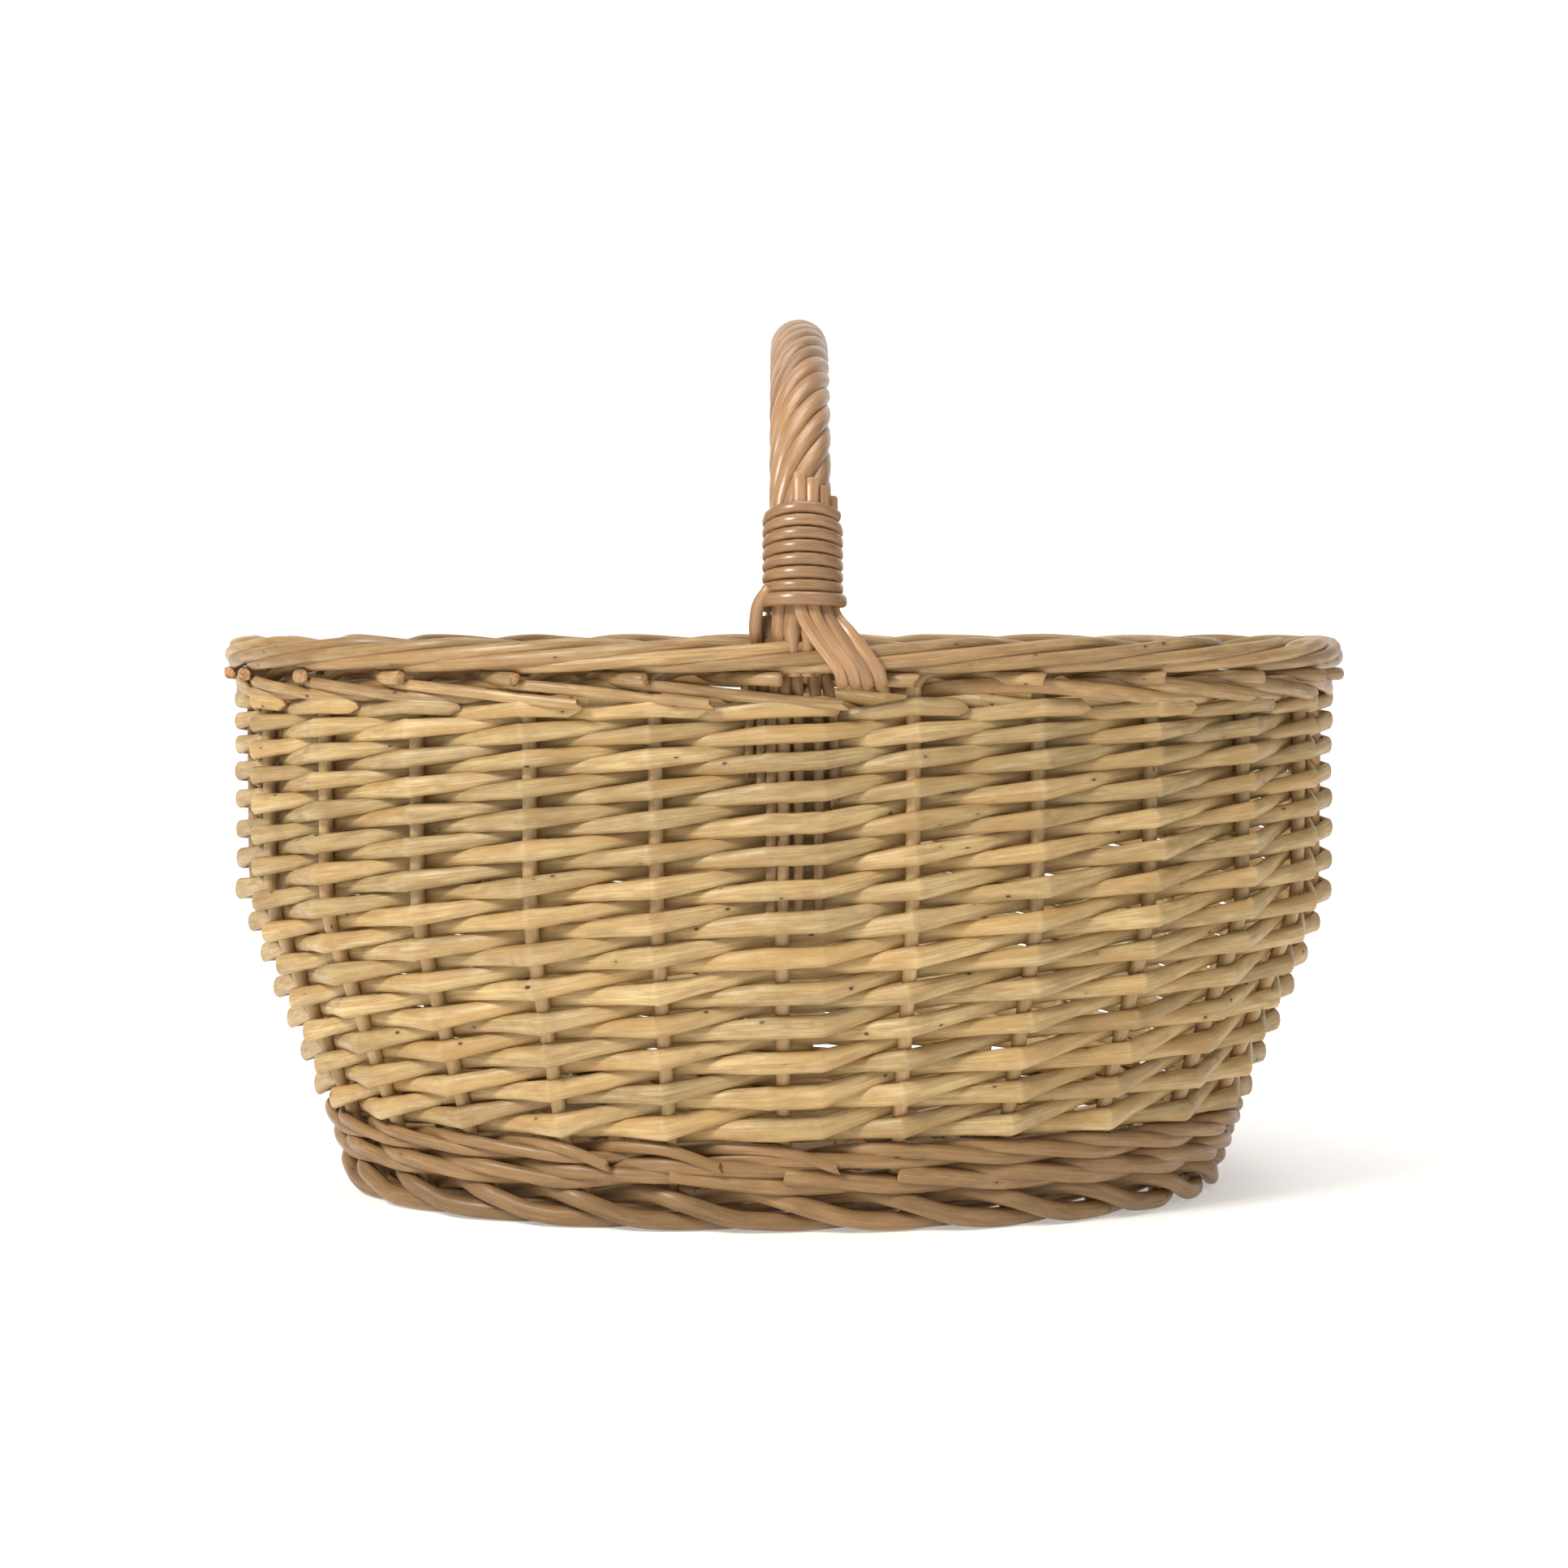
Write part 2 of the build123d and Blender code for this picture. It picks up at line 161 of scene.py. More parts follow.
def rollRod(name, line, facing, sizes, materials, kinks=None, sides=12, cut=(0.0, 0.0)):
    # wraps a strip round the line; sizes are (across, deep) in millimetres at each ring
    # cut slants the two ends
    rings = len(line)
    mesh = barkStrip(rings, sides)
    flat = np.empty(len(mesh.vertices) * 3)
    mesh.vertices.foreach_get("co", flat)
    flat = flat.reshape(-1, 3)
    ring = np.rint((flat[:, 0] + 1) / 2 * (rings - 1)).astype(int)
    spoke = np.rint((flat[:, 1] + 1) / 2 * sides).astype(int)
    middle = np.array(line)
    ahead = np.gradient(middle, axis=0)
    ahead /= np.linalg.norm(ahead, axis=1)[:, None]
    face = np.array(facing)
    face = face - ahead * np.sum(face * ahead, axis=1)[:, None]
    face /= np.linalg.norm(face, axis=1)[:, None]
    across = np.cross(ahead, face)
    size = np.array(sizes) * mm / 2
    turn = 2 * np.pi * spoke / sides
    wide = np.sign(np.sin(turn)) * np.abs(np.sin(turn)) ** rodLook["roundness"]
    deep = np.sign(np.cos(turn)) * np.abs(np.cos(turn)) ** rodLook["roundness"]
    sideways = across[ring] * (size[ring, 0] * wide)[:, None]
    outwards = face[ring] * (size[ring, 1] * deep)[:, None]
    spots = middle[ring] + sideways + outwards
    for end, slant in ((0, cut[0]), (rings - 1, cut[1])):
        at = ring == end
        spots[at] += ahead[end] * (wide[at] * slant * mm)[:, None]
    mesh.vertices.foreach_set("co", spots.ravel())

    # the bark's own map: distance along the rod and around it, in metres
    along = np.concatenate([[0], np.cumsum(np.linalg.norm(np.diff(middle, axis=0), axis=1))])
    girth = float(np.mean(size.sum(axis=1))) * np.pi
    corner = np.empty(len(mesh.loops), dtype=np.int32)
    mesh.loops.foreach_get("vertex_index", corner)
    chart = np.stack([along[ring[corner]], spoke[corner] / sides * girth], axis=1)
    mesh.uv_layers[0].data.foreach_set("uv", chart.ravel())
    shade = mesh.attributes.new("rodTone", "FLOAT", "POINT")
    shade.data.foreach_set("value", np.full(len(mesh.vertices), seeds.random()))
    crease = mesh.attributes.new("kink", "FLOAT", "POINT")
    crease.data.foreach_set("value", np.array(kinks if kinks is not None else [0.0] * rings)[ring])

    rod = bpy.data.objects.new(name, mesh)
    bpy.context.collection.objects.link(rod)
    selectOnly(rod)
    bpy.ops.object.mode_set(mode="EDIT")
    bpy.ops.mesh.select_all(action="SELECT")
    bpy.ops.mesh.remove_doubles(threshold=rodLook["weld"])
    bpy.ops.mesh.fill_holes(sides=sides)
    bpy.ops.mesh.normals_make_consistent(inside=False)
    bpy.ops.object.mode_set(mode="OBJECT")
    for material in materials:
        mesh.materials.append(material)
    for face in mesh.polygons:
        if len(face.vertices) > 4:
            face.material_index = len(materials) - 1
    bpy.ops.object.shade_smooth_by_angle(angle=math.radians(rodLook["smoothBelow"]))
    return rod


def easeCorners(corners, bend, step=7.0):
    # straight runs with each corner eased over, then filled with rings no further apart than the step
    line = [corners[0]]
    for before, corner, after in zip(corners, corners[1:], corners[2:]):
        room = min(bend * mm, 0.45 * (corner - before).length, 0.45 * (after - corner).length)
        start = corner + (before - corner).normalized() * room
        finish = corner + (after - corner).normalized() * room
        for k in range(rodLook["cornerSteps"] + 1):
            share = k / rodLook["cornerSteps"]
            line.append(start * (1 - share) ** 2 + corner * 2 * share * (1 - share) + finish * share ** 2)
    line.append(corners[-1])
    full = [line[0]]
    for here, there in zip(line, line[1:]):
        gap = (there - here).length
        if gap < rodLook["shortestRun"] * mm:
            continue
        count = max(1, round(gap / (step * mm)))
        full += [here.lerp(there, k / count) for k in range(1, count + 1)]
    return full


def bevelEnds(line, sizes, amount=0.45):
    # one more ring close to each end, so that a cut end has a soft edge
    first = line[0].lerp(line[1], min(0.5, amount * mm / (line[1] - line[0]).length))
    last = line[-1].lerp(line[-2], min(0.5, amount * mm / (line[-1] - line[-2]).length))
    shrink = rodLook["bevelShrink"]
    small = [(wide * shrink, deep * shrink) for wide, deep in (sizes[0], sizes[-1])]
    line = [line[0], first] + line[1:-1] + [last, line[-1]]
    sizes = [small[0], sizes[0]] + sizes[1:-1] + [sizes[-1], small[1]]
    return line, sizes


def taperSizes(line, start, finish, uneven=0.04):
    # section from one end to the other, in millimetres, with the small swellings of real rods
    apart = rodLook["swellEvery"]
    swell = [seeds.uniform(-uneven, uneven) for k in range(len(line) // apart + 3)]
    sizes = []
    for i in range(len(line)):
        share = i / (len(line) - 1)
        place = i / apart
        k = int(place)
        lump = 1 + swell[k] + (swell[k + 1] - swell[k]) * (place - k)
        sizes.append(tuple((a + (b - a) * share) * lump for a, b in zip(start, finish)))
    return sizes


def facingUp(point):
    return Vector((0, 0, 1))


def plainRod(name, corners, bend, start, finish, materials, facingOf=facingWall, sides=12,
             cut=(0.0, 0.0), step=7.0):
    line = easeCorners(corners, bend, step)
    line, sizes = bevelEnds(line, taperSizes(line, start, finish))
    return rollRod(name, line, [facingOf(point) for point in line], sizes, materials, None, sides, cut)


def joinPieces(name, parts):
    selectOnly(parts[0])
    for part in parts:
        part.select_set(True)
    bpy.ops.object.join()
    parts[0].name = name
    return parts[0]


def seat(piece, slotName, *nodes):
    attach(piece, "root")
    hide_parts(*nodes)


# ---- willow ----
def addNode(tree, kind, place, **settings):
    node = tree.nodes.new(kind)
    node.location = place
    for key, value in settings.items():
        setattr(node, key, value)
    return node


def mathNode(tree, operation, a, b, place, clamp=False):
    node = addNode(tree, "ShaderNodeMath", place, operation=operation, use_clamp=clamp)
    for socket, value in zip(node.inputs, (a, b)):
        if isinstance(value, (int, float)):
            socket.default_value = value
        elif value is not None:
            tree.links.new(value, socket)
    return node.outputs[0]


def rangeNode(tree, value, low, high, place, outLow=0.0, outHigh=1.0):
    node = addNode(tree, "ShaderNodeMapRange", place, interpolation_type="SMOOTHSTEP")
    tree.links.new(value, node.inputs[0])
    for i, setting in enumerate((low, high, outLow, outHigh)):
        node.inputs[i + 1].default_value = setting
    return node.outputs[0]


def mixNode(tree, factor, a, b, place, blend="MIX"):
    node = addNode(tree, "ShaderNodeMix", place, data_type="RGBA", blend_type=blend)
    for socket, value in zip((node.inputs[0], node.inputs[6], node.inputs[7]), (factor, a, b)):
        if isinstance(value, (int, float)):
            socket.default_value = value
        elif isinstance(value, tuple):
            socket.default_value = value
        else:
            tree.links.new(value, socket)
    return node.outputs[2]


def stretchedCoords(tree, u, v, tone, alongScale, aroundScale, offset, place):
    # the bark's map stretched along the rod, shifted for every rod
    node = addNode(tree, "ShaderNodeCombineXYZ", place)
    for i, (value, scale) in enumerate(((u, alongScale), (v, aroundScale), (tone, offset))):
        scaled = mathNode(tree, "MULTIPLY", value, scale, (place[0] - 180, place[1] - 40 * i))
        tree.links.new(scaled, node.inputs[i])
    return node.outputs[0]


def noiseNode(tree, vector, detail, roughness, place):
    node = addNode(tree, "ShaderNodeTexNoise", place)
    tree.links.new(vector, node.inputs["Vector"])
    node.inputs["Scale"].default_value = 1.0
    node.inputs["Detail"].default_value = detail
    node.inputs["Roughness"].default_value = roughness
    return node.outputs[0]


def makeBarkGroup():
    group = bpy.data.node_groups.new("peeledWillow", "ShaderNodeTree")
    for label in ("Pale", "Deep", "Warm"):
        group.interface.new_socket(name=label, in_out="INPUT", socket_type="NodeSocketColor")
    for label, value in (("Grain", 0.5), ("Mottle", 0.5), ("Buds", 0.5), ("Base Roughness", 0.5)):
        socket = group.interface.new_socket(name=label, in_out="INPUT", socket_type="NodeSocketFloat")
        socket.default_value = value
    group.interface.new_socket(name="Colour", in_out="OUTPUT", socket_type="NodeSocketColor")
    group.interface.new_socket(name="Roughness", in_out="OUTPUT", socket_type="NodeSocketFloat")
    group.interface.new_socket(name="Height", in_out="OUTPUT", socket_type="NodeSocketFloat")
    given = addNode(group, "NodeGroupInput", (-1700, 0))
    result = addNode(group, "NodeGroupOutput", (1100, 0))
    chart = addNode(group, "ShaderNodeUVMap", (-1700, -400), uv_map="UVMap")
    split = addNode(group, "ShaderNodeSeparateXYZ", (-1500, -400))
    group.links.new(chart.outputs[0], split.inputs[0])
    u, v = split.outputs[0], split.outputs[1]
    tone = addNode(group, "ShaderNodeAttribute", (-1700, -650), attribute_name="rodTone").outputs["Fac"]
    kink = addNode(group, "ShaderNodeAttribute", (-1700, -850), attribute_name="kink").outputs["Fac"]

    coords = stretchedCoords(group, u, v, tone, 45, 1500, 57, (-1100, 200))
    grain = noiseNode(group, coords, 3.0, 0.6, (-900, 200))
    coords = stretchedCoords(group, u, v, tone, 60, 260, 31, (-1100, -50))
    mottle = noiseNode(group, coords, 4.0, 0.62, (-900, -50))
    coords = stretchedCoords(group, u, v, tone, 11, 40, 17, (-1100, -300))
    cloud = noiseNode(group, coords, 2.0, 0.5, (-900, -300))
    coords = stretchedCoords(group, u, v, tone, 900, 120, 23, (-1100, -550))
    crazing = noiseNode(group, coords, 2.0, 0.5, (-900, -550))

    # buds are small dark marks, only in some of the cells
    cells = addNode(group, "ShaderNodeTexVoronoi", (-900, -800))
    cells.inputs["Scale"].default_value = 1.0
    budCoords = stretchedCoords(group, u, v, tone, 75, 135, 71, (-1100, -800))
    group.links.new(budCoords, cells.inputs["Vector"])
    chosen = addNode(group, "ShaderNodeSeparateColor", (-700, -900))
    group.links.new(cells.outputs["Color"], chosen.inputs[0])
    near = rangeNode(group, cells.outputs["Distance"], 0.04, 0.095, (-700, -750), 1.0, 0.0)
    pick = rangeNode(group, chosen.outputs[0], 0.22, 0.26, (-500, -900))
    ragged = rangeNode(group, mottle, 0.22, 0.44, (-500, -1050))
    bud = mathNode(group, "MULTIPLY", near, pick, (-300, -800))
    bud = mathNode(group, "MULTIPLY", bud, ragged, (-150, -800))
    bud = mathNode(group, "MULTIPLY", bud, given.outputs["Buds"], (0, -800), True)
    halo = rangeNode(group, cells.outputs["Distance"], 0.06, 0.26, (-700, -1050), 1.0, 0.0)
    halo = mathNode(group, "MULTIPLY", halo, pick, (-300, -1000))
    halo = mathNode(group, "MULTIPLY", halo, 0.35, (-150, -1000))

    patch = rangeNode(group, mottle, 0.34, 0.70, (-650, -50))
    streak = rangeNode(group, grain, 0.36, 0.66, (-650, 200))
    warmth = rangeNode(group, cloud, 0.38, 0.68, (-650, -300))
    byRod = rangeNode(group, tone, 0.0, 1.0, (-650, -450), 0.80, 1.10)
    patchAmount = mathNode(group, "MULTIPLY", patch, given.outputs["Mottle"], (-450, -50), True)
    streakAmount = mathNode(group, "MULTIPLY", streak, given.outputs["Grain"], (-450, 200), True)
    colour = mixNode(group, patchAmount, given.outputs["Pale"], given.outputs["Deep"], (-250, 100))
    colour = mixNode(group, streakAmount, colour, given.outputs["Deep"], (-50, 100))
    warmAmount = mathNode(group, "MULTIPLY", warmth, 0.55, (-250, -250))
    colour = mixNode(group, warmAmount, colour, given.outputs["Warm"], (150, 100))
    # paler colour at the kinks over the stakes: partly the rod's pressed, whitened crease, partly a painted
    # highlight on the bend
    lift = mathNode(group, "MULTIPLY", kink, 0.09, (150, -150))
    creaseWearAndHighlight = mixNode(group, 0.45, given.outputs["Pale"], (1.0, 0.95, 0.82, 1.0), (150, -50))
    colour = mixNode(group, lift, colour, creaseWearAndHighlight, (330, 100))
    colour = mixNode(group, halo, colour, given.outputs["Deep"], (480, 100))
    colour = mixNode(group, bud, colour, (0.050, 0.026, 0.010, 1.0), (630, 100))
    tint = addNode(group, "ShaderNodeCombineColor", (480, -200))
    for socket in tint.inputs:
        group.links.new(byRod, socket)
    colour = mixNode(group, 1.0, colour, tint.outputs[0], (780, 100), "MULTIPLY")
    group.links.new(colour, result.inputs["Colour"])

    rough = mathNode(group, "MULTIPLY", patch, 0.16, (330, -350))
    rough = mathNode(group, "ADD", rough, given.outputs["Base Roughness"], (480, -350))
    kinkRough = mathNode(group, "MULTIPLY", kink, 0.12, (480, -420))
    rough = mathNode(group, "ADD", rough, kinkRough, (630, -350), True)
    group.links.new(rough, result.inputs["Roughness"])
    height = mathNode(group, "MULTIPLY", grain, 0.55, (330, -500))
    lumps = mathNode(group, "MULTIPLY", mottle, 0.5, (330, -560))
    height = mathNode(group, "ADD", height, lumps, (480, -500))
    wrinkle = mathNode(group, "MULTIPLY", crazing, kink, (330, -620))
    wrinkle = mathNode(group, "MULTIPLY", wrinkle, 0.9, (480, -620))
    height = mathNode(group, "ADD", height, wrinkle, (630, -500))
    budDepth = mathNode(group, "MULTIPLY", bud, 0.6, (630, -620))
    height = mathNode(group, "SUBTRACT", height, budDepth, (780, -500))
    group.links.new(height, result.inputs["Height"])
    return group


def colourOf(red, green, blue):
    # a colour as a paint chart gives it, 0 to 255
    shades = (red / 255, green / 255, blue / 255)
    return tuple(c / 12.92 if c <= 0.04045 else ((c + 0.055) / 1.055) ** 2.4 for c in shades) + (1.0,)


finishes = {
    "weaverWillow": {"pale": (202, 176, 124), "deep": (146, 114, 70), "warm": (178, 138, 80), "grain": 0.50,
                     "mottle": 0.70, "buds": 1.0, "roughness": 0.42, "bump": 0.9, "coat": 0.08},
    "stakeWillow": {"pale": (204, 172, 124), "deep": (158, 126, 82), "warm": (178, 140, 92), "grain": 0.4,
                    "mottle": 0.6, "buds": 0.8, "roughness": 0.46, "bump": 0.5, "coat": 0.06},
    "borderWillow": {"pale": (188, 156, 106), "deep": (132, 100, 62), "warm": (154, 116, 70), "grain": 0.6,
                     "mottle": 0.75, "buds": 1.0, "roughness": 0.36, "bump": 0.8, "coat": 0.16},
    "footWillow": {"pale": (164, 129, 84), "deep": (108, 80, 48), "warm": (132, 98, 58), "grain": 0.5,
                   "mottle": 0.65, "buds": 1.0, "roughness": 0.40, "bump": 0.55, "coat": 0.14},
    "handleWillow": {"pale": (183, 143, 102), "deep": (134, 98, 64), "warm": (152, 108, 68), "grain": 0.5,
                     "mottle": 0.65, "buds": 0.9, "roughness": 0.28, "bump": 0.5, "coat": 0.42},
}
barkGroup = makeBarkGroup()


def makeFinish(name, look):
    material = bpy.data.materials.new(name)
    material.use_nodes = True
    tree = material.node_tree
    shader = tree.nodes["Principled BSDF"]
    bark = addNode(tree, "ShaderNodeGroup", (-600, 100), node_tree=barkGroup)
    for label, key in (("Pale", "pale"), ("Deep", "deep"), ("Warm", "warm")):
        bark.inputs[label].default_value = colourOf(*look[key])
    amounts = (("Grain", "grain"), ("Mottle", "mottle"), ("Buds", "buds"), ("Base Roughness", "roughness"))
    for label, key in amounts:
        bark.inputs[label].default_value = look[key]
    bump = addNode(tree, "ShaderNodeBump", (-300, -200))
    bump.inputs["Strength"].default_value = look["bump"]
    bump.inputs["Distance"].default_value = 0.0004
    tree.links.new(bark.outputs["Height"], bump.inputs["Height"])
    tree.links.new(bark.outputs["Colour"], shader.inputs["Base Color"])
    tree.links.new(bark.outputs["Roughness"], shader.inputs["Roughness"])
    tree.links.new(bump.outputs[0], shader.inputs["Normal"])
    shader.inputs["Coat Weight"].default_value = look["coat"]
    shader.inputs["Coat Roughness"].default_value = 0.28
    shader.inputs["Specular IOR Level"].default_value = 0.42
    return material


def makeCutWood():
    # sawn ends: pinkish wood with faint rays
    material = bpy.data.materials.new("cutWillow")
    material.use_nodes = True
    tree = material.node_tree
    shader = tree.nodes["Principled BSDF"]
    place = addNode(tree, "ShaderNodeTexCoord", (-900, 0))
    speckle = addNode(tree, "ShaderNodeTexNoise", (-700, 0))
    speckle.inputs["Scale"].default_value = 900.0
    speckle.inputs["Detail"].default_value = 4.0
    tree.links.new(place.outputs["Object"], speckle.inputs["Vector"])
    shade = rangeNode(tree, speckle.outputs[0], 0.3, 0.7, (-500, 0))
    wood = mixNode(tree, shade, colourOf(206, 160, 116), colourOf(158, 112, 74), (-300, 100))
    tree.links.new(wood, shader.inputs["Base Color"])
    rough = rangeNode(tree, speckle.outputs[0], 0.3, 0.7, (-300, -100), 0.6, 0.8)
    tree.links.new(rough, shader.inputs["Roughness"])
    bump = addNode(tree, "ShaderNodeBump", (-300, -300))
    bump.inputs["Strength"].default_value = 0.6
    bump.inputs["Distance"].default_value = 0.0003
    tree.links.new(speckle.outputs[0], bump.inputs["Height"])
    tree.links.new(bump.outputs[0], shader.inputs["Normal"])
    return material


cutWillow = makeCutWood()
willow = {name: [makeFinish(name, look), cutWillow] for name, look in finishes.items()}
print("materials ready")


# ---- side weavers ----
weaverLook = {
    "turns": 27,
    "closing": 0.36,  # how much closer the thin tips pack at the top
    "cadRadius": 2.15,
    "outFront": 5.6,
    "outBack": -5.3,
    # (height, depth) of the section over a stake and between stakes, at the butt and at the tip
    "atStake": ((9.2, 5.0), (6.9, 4.2)),
    "between": ((7.2, 5.6), (5.6, 4.6)),
    "vShape": 3.0,  # how far the lowest crossings drop below the even climb
    "uneven": 0.7,
    "raised": 7.0,  # the weave closes up under the border, higher than the plain round rods do
}
weaveLow, weaveHigh = boxMm("side_weaver_01")
weaveStart = weaveLow.z + weaverLook["cadRadius"]
weaveEnd = weaveHigh.z - weaverLook["cadRadius"] + weaverLook["raised"]
ringShares = (0.0, 0.012, 0.035, 0.10, 0.20, 0.32, 0.44, 0.56, 0.68, 0.80, 0.90, 0.965, 0.988)


def rowHeight(row):
    share = min(max(row / weaverLook["turns"], 0), 1)
    climb = (share - weaverLook["closing"] * share ** 4 / 4) / (1 - weaverLook["closing"] / 4)
    return weaveStart + climb * (weaveEnd - weaveStart)


def weaverStops(first):
    # where the rod passes each stake: (along, out, height, strength of the kink)
    stops = [(first - 0.3, weaverLook["outBack"] + 1, weaveStart, 0.0)]
    for row in range(weaverLook["turns"] + 1):
        share = row / weaverLook["turns"]
        front = row % 2
        drop = weaverLook["vShape"] * (1 - share) ** 1.5 - 0.6 * share
        height = rowHeight(row) + (-drop if front else 0.45 * drop)
        height += seeds.uniform(-1, 1) * weaverLook["uneven"]
        out = (weaverLook["outFront"] if front else weaverLook["outBack"]) + seeds.uniform(-0.4, 0.4)
        stake = first + row
        if stake % halfStakes == 0:  # the middle stakes carry the handle's rods beside them
            stops.append((stake - 0.13, out, height - 0.4, 0.5))
            stops.append((stake + 0.30, out, height + 0.4, 0.5))
        else:
            stops.append((stake + seeds.uniform(-0.03, 0.03), out, height, seeds.uniform(0.6, 1.0)))
    stops.append((first + weaverLook["turns"] + 0.42, weaverLook["outFront"] - 4.5, weaveEnd + 0.3, 0.0))
    return stops


def sizeBetween(share, kink):
    section = []
    for butt, tip, midButt, midTip in zip(*weaverLook["atStake"], *weaverLook["between"]):
        atStake = butt + (tip - butt) * share
        between = midButt + (midTip - midButt) * share
        section.append(atStake * kink + between * (1 - kink))
    return section


def layWeaver(name, first):
    stops = weaverStops(first)
    anchors = [wallPoint(along, 0, height) for along, out, height, kink in stops]
    outward = [facingWall(point) for point in anchors]
    thick = seeds.uniform(0.93, 1.07)
    line, facing, sizes, kinks = [], [], [], []
    for i in range(len(stops) - 1):
        gap = stops[i + 1][0] - stops[i][0]
        shares = ringShares if gap > 0.6 else (0.0, 0.2, 0.5, 0.8)
        for share in shares:
            eased = share + 0.12 * (share * share * (3 - 2 * share) - share)
            out = stops[i][1] + (stops[i + 1][1] - stops[i][1]) * eased
            normal = outward[i].lerp(outward[i + 1], share).normalized()
            near = min(share, 1 - share) * gap
            pressed = max(0.0, 1 - near / 0.34) ** 0.8
            flatRun = 1.0 if gap < 0.6 else pressed
            kink = max(stops[i][3] * (1 - share / 0.03), stops[i + 1][3] * (1 - (1 - share) / 0.03), 0.0)
            corner = 0.1 * max(0.0, 1 - near / 0.015)
            offset = (out - math.copysign(corner, out)) * mm
            line.append(anchors[i].lerp(anchors[i + 1], share) + normal * offset)
            facing.append(normal)
            wide, deep = sizeBetween((i + share) / len(stops), flatRun)
            wobble = 1 + 0.05 * math.sin(7.1 * (first + i + share)) * math.sin(2.3 * i + first)
            sizes.append((wide * thick * wobble, deep * thick))
            kinks.append(kink)
    line.append(anchors[-1] + outward[-1] * (stops[-1][1] * mm))
    facing.append(outward[-1])
    sizes.append((2.0, 1.6))
    kinks.append(0.0)
    sizes[0] = (5.0, 4.5)
    return rollRod(name, line, facing, sizes, willow["weaverWillow"], kinks, 12, (0.0, 0.5))


for number in range(stakes):
    weaver = layWeaver(f"weaver_{number + 1:02d}", number)
    seat(weaver, "weaver_willow", f"side_weaver_{number % halfStakes + 1:02d}")
print("side weavers laid")


# ---- side stakes and the rolled border ----
stakeLook = {
    "inWall": (5.5, 5.3),
    "inBorder": (5.2, 4.9),
    "borderSquash": 0.74,  # strands lie closer than plain round rods could
    "footLength": 28.0,  # lies in the base
    "footHeight": 16.7,
    "borderRise": 18.9,  # from the border's base up to the rim's top
    "bend": 12.0,
    "cutSlant": 1.6,
    "loose": 0.35,
}
# (stakes along, outward, up from the border's base): down behind one, in front of three, in and out again
borderRoute = [
    (0.00, 0.0, 2.6), (0.15, -4.4, 3.9), (1.00, -6.6, 7.4), (1.20, -5.4, 8.4), (1.55, -0.4, 8.2),
    (1.95, 6.6, 5.6), (2.50, 9.0, 6.6), (3.05, 9.6, 9.4), (3.60, 9.0, 12.4), (4.10, 7.2, 15.4),
    (4.42, 3.2, 16.6), (4.70, -2.6, 16.0), (5.05, -9.4, 13.0), (5.20, -11.6, 8.8), (5.40, -10.2, 0.8),
    (5.60, -1.5, -0.2), (5.84, 7.6, -0.4), (5.98, 9.8, -0.6),
]
borderBase = rimTop - stakeLook["borderRise"]
borderHighest = max(up for along, out, up in borderRoute)


def layStake(name, stake):
    corners = [
        wallPoint(stake, -stakeLook["footLength"], stakeLook["footHeight"]),
        wallPoint(stake, 0, stakeLook["footHeight"]),
        wallPoint(stake + seeds.uniform(-0.02, 0.02), 0, wallShape["uprightFrom"]),
    ]
    for along, out, up in borderRoute:
        laid = along > 0
        loose = stakeLook["loose"] if laid else 0.0
        squash = stakeLook["borderSquash"] if laid else 1.0
        corners.append(wallPoint(
            stake + along + seeds.uniform(-0.02, 0.02) * laid,
            out + seeds.uniform(-loose, loose),
            borderBase + borderHighest - (borderHighest - up) * squash + seeds.uniform(-loose, loose),
        ))
    line = easeCorners(corners, stakeLook["bend"], 8.0)
    sizes = []
    for point in line:
        inBorder = min(1.0, max(0.0, (point.z / mm - borderBase + 4) / 6))
        bothSizes = zip(stakeLook["inWall"], stakeLook["inBorder"])
        sizes.append(tuple(a + (b - a) * inBorder for a, b in bothSizes))
    line, sizes = bevelEnds(line, sizes)
    facing = [facingWall(point) for point in line]
    facing[:4] = [Vector((0, 0, 1))] * 4
    slant = seeds.uniform(-1, 1) * stakeLook["cutSlant"]
    stakeFinish, borderFinish = willow["stakeWillow"][0], willow["borderWillow"][0]
    materials = [stakeFinish, borderFinish, cutWillow]
    stakeRod = rollRod(name, line, facing, sizes, materials, cut=(0.0, slant))
    for face in stakeRod.data.polygons:
        if face.material_index == 0 and face.center.z / mm > borderBase + 1:
            face.material_index = 1
    return stakeRod


for number in range(stakes):
    stake = layStake(f"stake_{number + 1:02d}", number)
    seat(stake, "stake_willow", f"side_stake_{number % halfStakes + 1:02d}")
print("stakes laid")


# ---- three-rod wales ----
waleLook = {
    "reach": 5.9,
    "strandGap": 4.9,
    "bend": 9.0,
    "cutSlant": 2.2,
    "cadRadius": 2.0,
    "climb": 3,  # stakes over which a wale steps up to its next round
    "bottom": {"rounds": 2, "butt": (7.4, 5.4), "tip": (4.6, 3.8), "raise": 0.0, "extra": 3},
    "top": {"rounds": 1, "butt": (6.0, 4.4), "tip": (4.2, 3.2), "raise": 6.2, "extra": 0},
}


